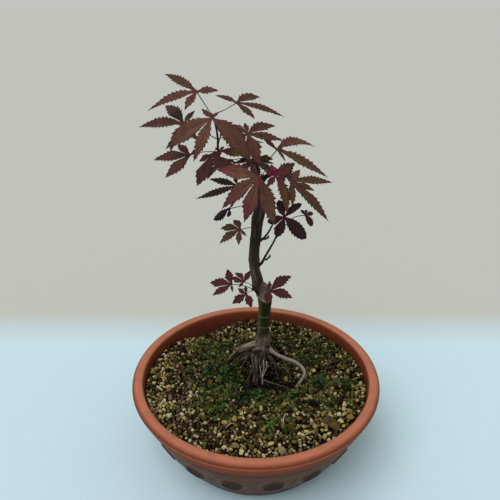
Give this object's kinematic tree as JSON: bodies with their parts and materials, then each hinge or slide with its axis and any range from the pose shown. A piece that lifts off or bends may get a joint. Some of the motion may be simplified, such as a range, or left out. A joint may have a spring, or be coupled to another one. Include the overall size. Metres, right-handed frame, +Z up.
{
  "type": "bonsai maple in a round bowl",
  "caption": "Young red-leaved maple grown as a bonsai, standing on bared roots in a round terracotta-coloured bowl filled with gravel.",
  "frame": {"origin": "centre of the bowl's foot, on the surface that it stands on", "axes": "+Z up along the bowl's axis, -Y towards the tree's front"},
  "size_m": [0.25, 0.25, 0.3745],
  "materials": {
    "bowl": "satin terracotta colour, with a grey-brown patina on the body",
    "gravel": "rough, tan and brown grains, damp and dark round the roots",
    "bark": "matte, green with algae low down and grey at the roots",
    "leaf_red": "satin",
    "leaf_crimson": "satin",
    "leaf_purple": "satin",
    "leaf_olive": "satin",
    "seedling": "satin"
  },
  "bodies": {
    "root": {"bowl": "bowl", "leaf_back_centre": "leaf_red", "leaf_back_left": "leaf_red", "leaf_back_right": "leaf_red", "leaf_back_top": "leaf_red", "leaf_centre_dark": "leaf_purple", "leaf_centre_green": "leaf_olive", "leaf_centre_left": "leaf_red", "leaf_crimson": "leaf_crimson", "leaf_crown_front": "leaf_red", "leaf_crown_right": "leaf_red", "leaf_curled": "leaf_purple", "leaf_front_large": "leaf_red", "leaf_left_lower": "leaf_red", "leaf_left_shaded": "leaf_olive", "leaf_left_upper": "leaf_red", "leaf_olive": "leaf_olive", "leaf_purple": "leaf_purple", "leaf_purple_small": "leaf_purple", "leaf_right_lower": "leaf_red", "leaf_right_upper": "leaf_red", "leaf_shoot_far_left": "leaf_red", "leaf_shoot_high": "leaf_red", "leaf_shoot_low": "leaf_red", "leaf_shoot_right": "leaf_red", "leaf_top_left": "leaf_red", "leaf_top_right": "leaf_red", "leaf_trunk_left": "leaf_olive", "leaf_trunk_right": "leaf_red", "seedling_front": "seedling", "seedling_left": "seedling", "seedling_right": "seedling", "soil": "gravel", "tree": "bark"}
  },
  "joints": []
}
